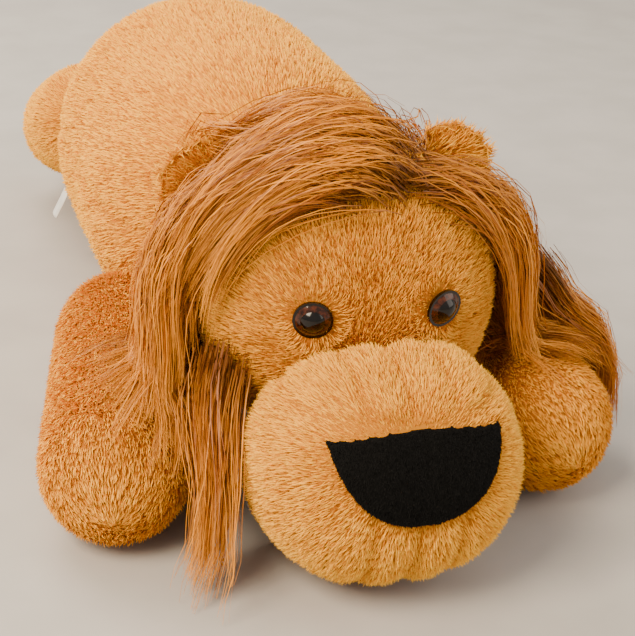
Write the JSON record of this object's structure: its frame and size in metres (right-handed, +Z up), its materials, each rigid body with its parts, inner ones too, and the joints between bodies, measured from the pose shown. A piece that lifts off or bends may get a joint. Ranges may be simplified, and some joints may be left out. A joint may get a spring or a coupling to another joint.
{
  "type": "plush lion",
  "caption": "Large plush lion lying on its belly, with a turning and nodding head, folding ears, spreading legs, a wagging tail and a long-haired mane.",
  "frame": {"origin": "on the floor, at the middle of the toy's length and width", "axes": "+Z up, the toy faces -Y, +X is the toy's own left"},
  "size_m": [0.3956, 0.7759, 0.276],
  "materials": {
    "body_fur": "short golden tan pile fabric",
    "muzzle_fur": "short light tan pile fabric",
    "mane_fur": "long silky russet pile fabric",
    "polyester_filling": "loose polyester fibre",
    "nose_velboa": "very short matte black pile",
    "satin_label": "white satin ribbon",
    "eye_black": "polished black moulding",
    "eye_brown": "polished clear brown moulding",
    "lock_washer": "white nylon"
  },
  "bodies": {
    "torso": {"body_back_skin": "body_fur", "body_belly_skin": "body_fur", "body_stuffing": "polyester_filling", "care_label": "satin_label"},
    "neck": {"neck_skin": "body_fur", "neck_stuffing": "polyester_filling"},
    "head": {"face_skin": "body_fur", "head_back_skin": "body_fur", "head_stuffing": "polyester_filling", "muzzle_bridge_panel": "muzzle_fur", "muzzle_left_panel": "muzzle_fur", "muzzle_right_panel": "muzzle_fur", "muzzle_stuffing": "polyester_filling", "nose_patch": "nose_velboa", "eye_left_base": "eye_black", "eye_left_iris": "eye_brown", "eye_left_washer": "lock_washer", "eye_right_base": "eye_black", "eye_right_iris": "eye_brown", "eye_right_washer": "lock_washer", "mane_crown": "mane_fur", "mane_left": "mane_fur", "mane_right": "mane_fur", "mane_left_lock": "mane_fur", "mane_right_lock": "mane_fur"},
    "ear_left": {"ear_left_front": "muzzle_fur", "ear_left_back": "mane_fur"},
    "ear_right": {"ear_right_front": "muzzle_fur", "ear_right_back": "mane_fur"},
    "front_leg_left": {"front_leg_left_skin": "body_fur", "front_leg_left_stuffing": "polyester_filling"},
    "front_leg_right": {"front_leg_right_skin": "body_fur", "front_leg_right_stuffing": "polyester_filling"},
    "hind_leg_left": {"hind_leg_left_skin": "body_fur", "hind_leg_left_stuffing": "polyester_filling"},
    "hind_leg_right": {"hind_leg_right_skin": "body_fur", "hind_leg_right_stuffing": "polyester_filling"},
    "tail": {"tail_skin": "body_fur", "tail_stuffing": "polyester_filling", "tail_tuft": "mane_fur"}
  },
  "joints": [
    {"name": "head_turn", "type": "hinge", "parent": "torso", "child": "neck", "pos_m": [0, -0.126, 0.124], "axis": [0, 0, 1], "range_deg": [-8, 5], "deforming": ["mane_crown", "mane_left", "mane_right", "mane_left_lock", "mane_right_lock"]},
    {"name": "head_nod", "type": "hinge", "parent": "neck", "child": "head", "pos_m": [0, -0.126, 0.124], "axis": [-1, 0, 0], "range_deg": [0, 20]},
    {"name": "ear_left_fold", "type": "hinge", "parent": "head", "child": "ear_left", "pos_m": [0.07889, -0.187, 0.20545], "axis": [-0.6018, 0, 0.7986], "range_deg": [-15, 45], "stiffness_Nm_per_rad": 0.05},
    {"name": "ear_right_fold", "type": "hinge", "parent": "head", "child": "ear_right", "pos_m": [-0.07889, -0.187, 0.20545], "axis": [-0.6018, 0, -0.7986], "range_deg": [-15, 45], "stiffness_Nm_per_rad": 0.05},
    {"name": "front_leg_left_spread", "type": "hinge", "parent": "torso", "child": "front_leg_left", "pos_m": [0.11, -0.078, 0.053], "axis": [0, 0, 1], "range_deg": [0, 50]},
    {"name": "front_leg_right_spread", "type": "hinge", "parent": "torso", "child": "front_leg_right", "pos_m": [-0.11, -0.078, 0.053], "axis": [0, 0, -1], "range_deg": [0, 50]},
    {"name": "hind_leg_left_spread", "type": "hinge", "parent": "torso", "child": "hind_leg_left", "pos_m": [0.075, 0.253, 0.104], "axis": [0, 0, -1], "range_deg": [0, 40]},
    {"name": "hind_leg_right_spread", "type": "hinge", "parent": "torso", "child": "hind_leg_right", "pos_m": [-0.075, 0.253, 0.104], "axis": [0, 0, 1], "range_deg": [0, 40]},
    {"name": "tail_wag", "type": "hinge", "parent": "torso", "child": "tail", "pos_m": [0, 0.25421, 0.173], "axis": [0, 0, 1], "range_deg": [-18, 18]}
  ]
}
